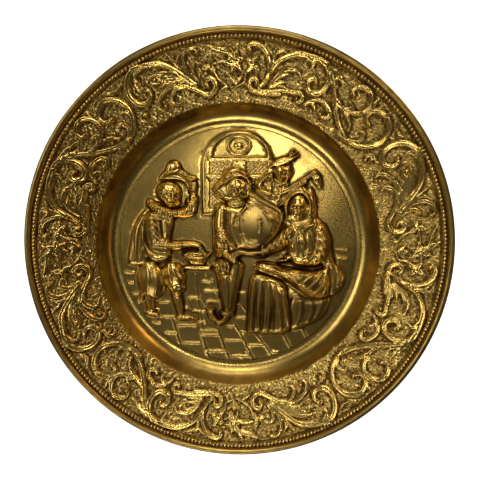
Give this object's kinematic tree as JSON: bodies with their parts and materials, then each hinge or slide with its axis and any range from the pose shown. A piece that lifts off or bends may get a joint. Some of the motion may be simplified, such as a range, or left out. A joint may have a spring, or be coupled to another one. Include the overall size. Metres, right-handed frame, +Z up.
{
  "type": "embossed wall plate",
  "caption": "Round dished brass wall plate, pressed with a scrolled, beaded rim and a raised tavern scene in its well, hung by a wire loop soldered to its back.",
  "frame": {"origin": "the point under the top of the hanging loop where the nail bears", "axes": "+Y into the wall, away from the viewer; +Z up; +X to the viewer's right"},
  "size_m": [0.356, 0.0419, 0.356],
  "materials": {
    "embossed_brass": "satin, polished on the raised parts, with dark brown patina in the hollows",
    "loop_brass": "dull drawn wire with grey solder at its feet"
  },
  "bodies": {
    "root": {"plate_sheet": "embossed_brass", "hanging_loop": "loop_brass"}
  },
  "joints": []
}
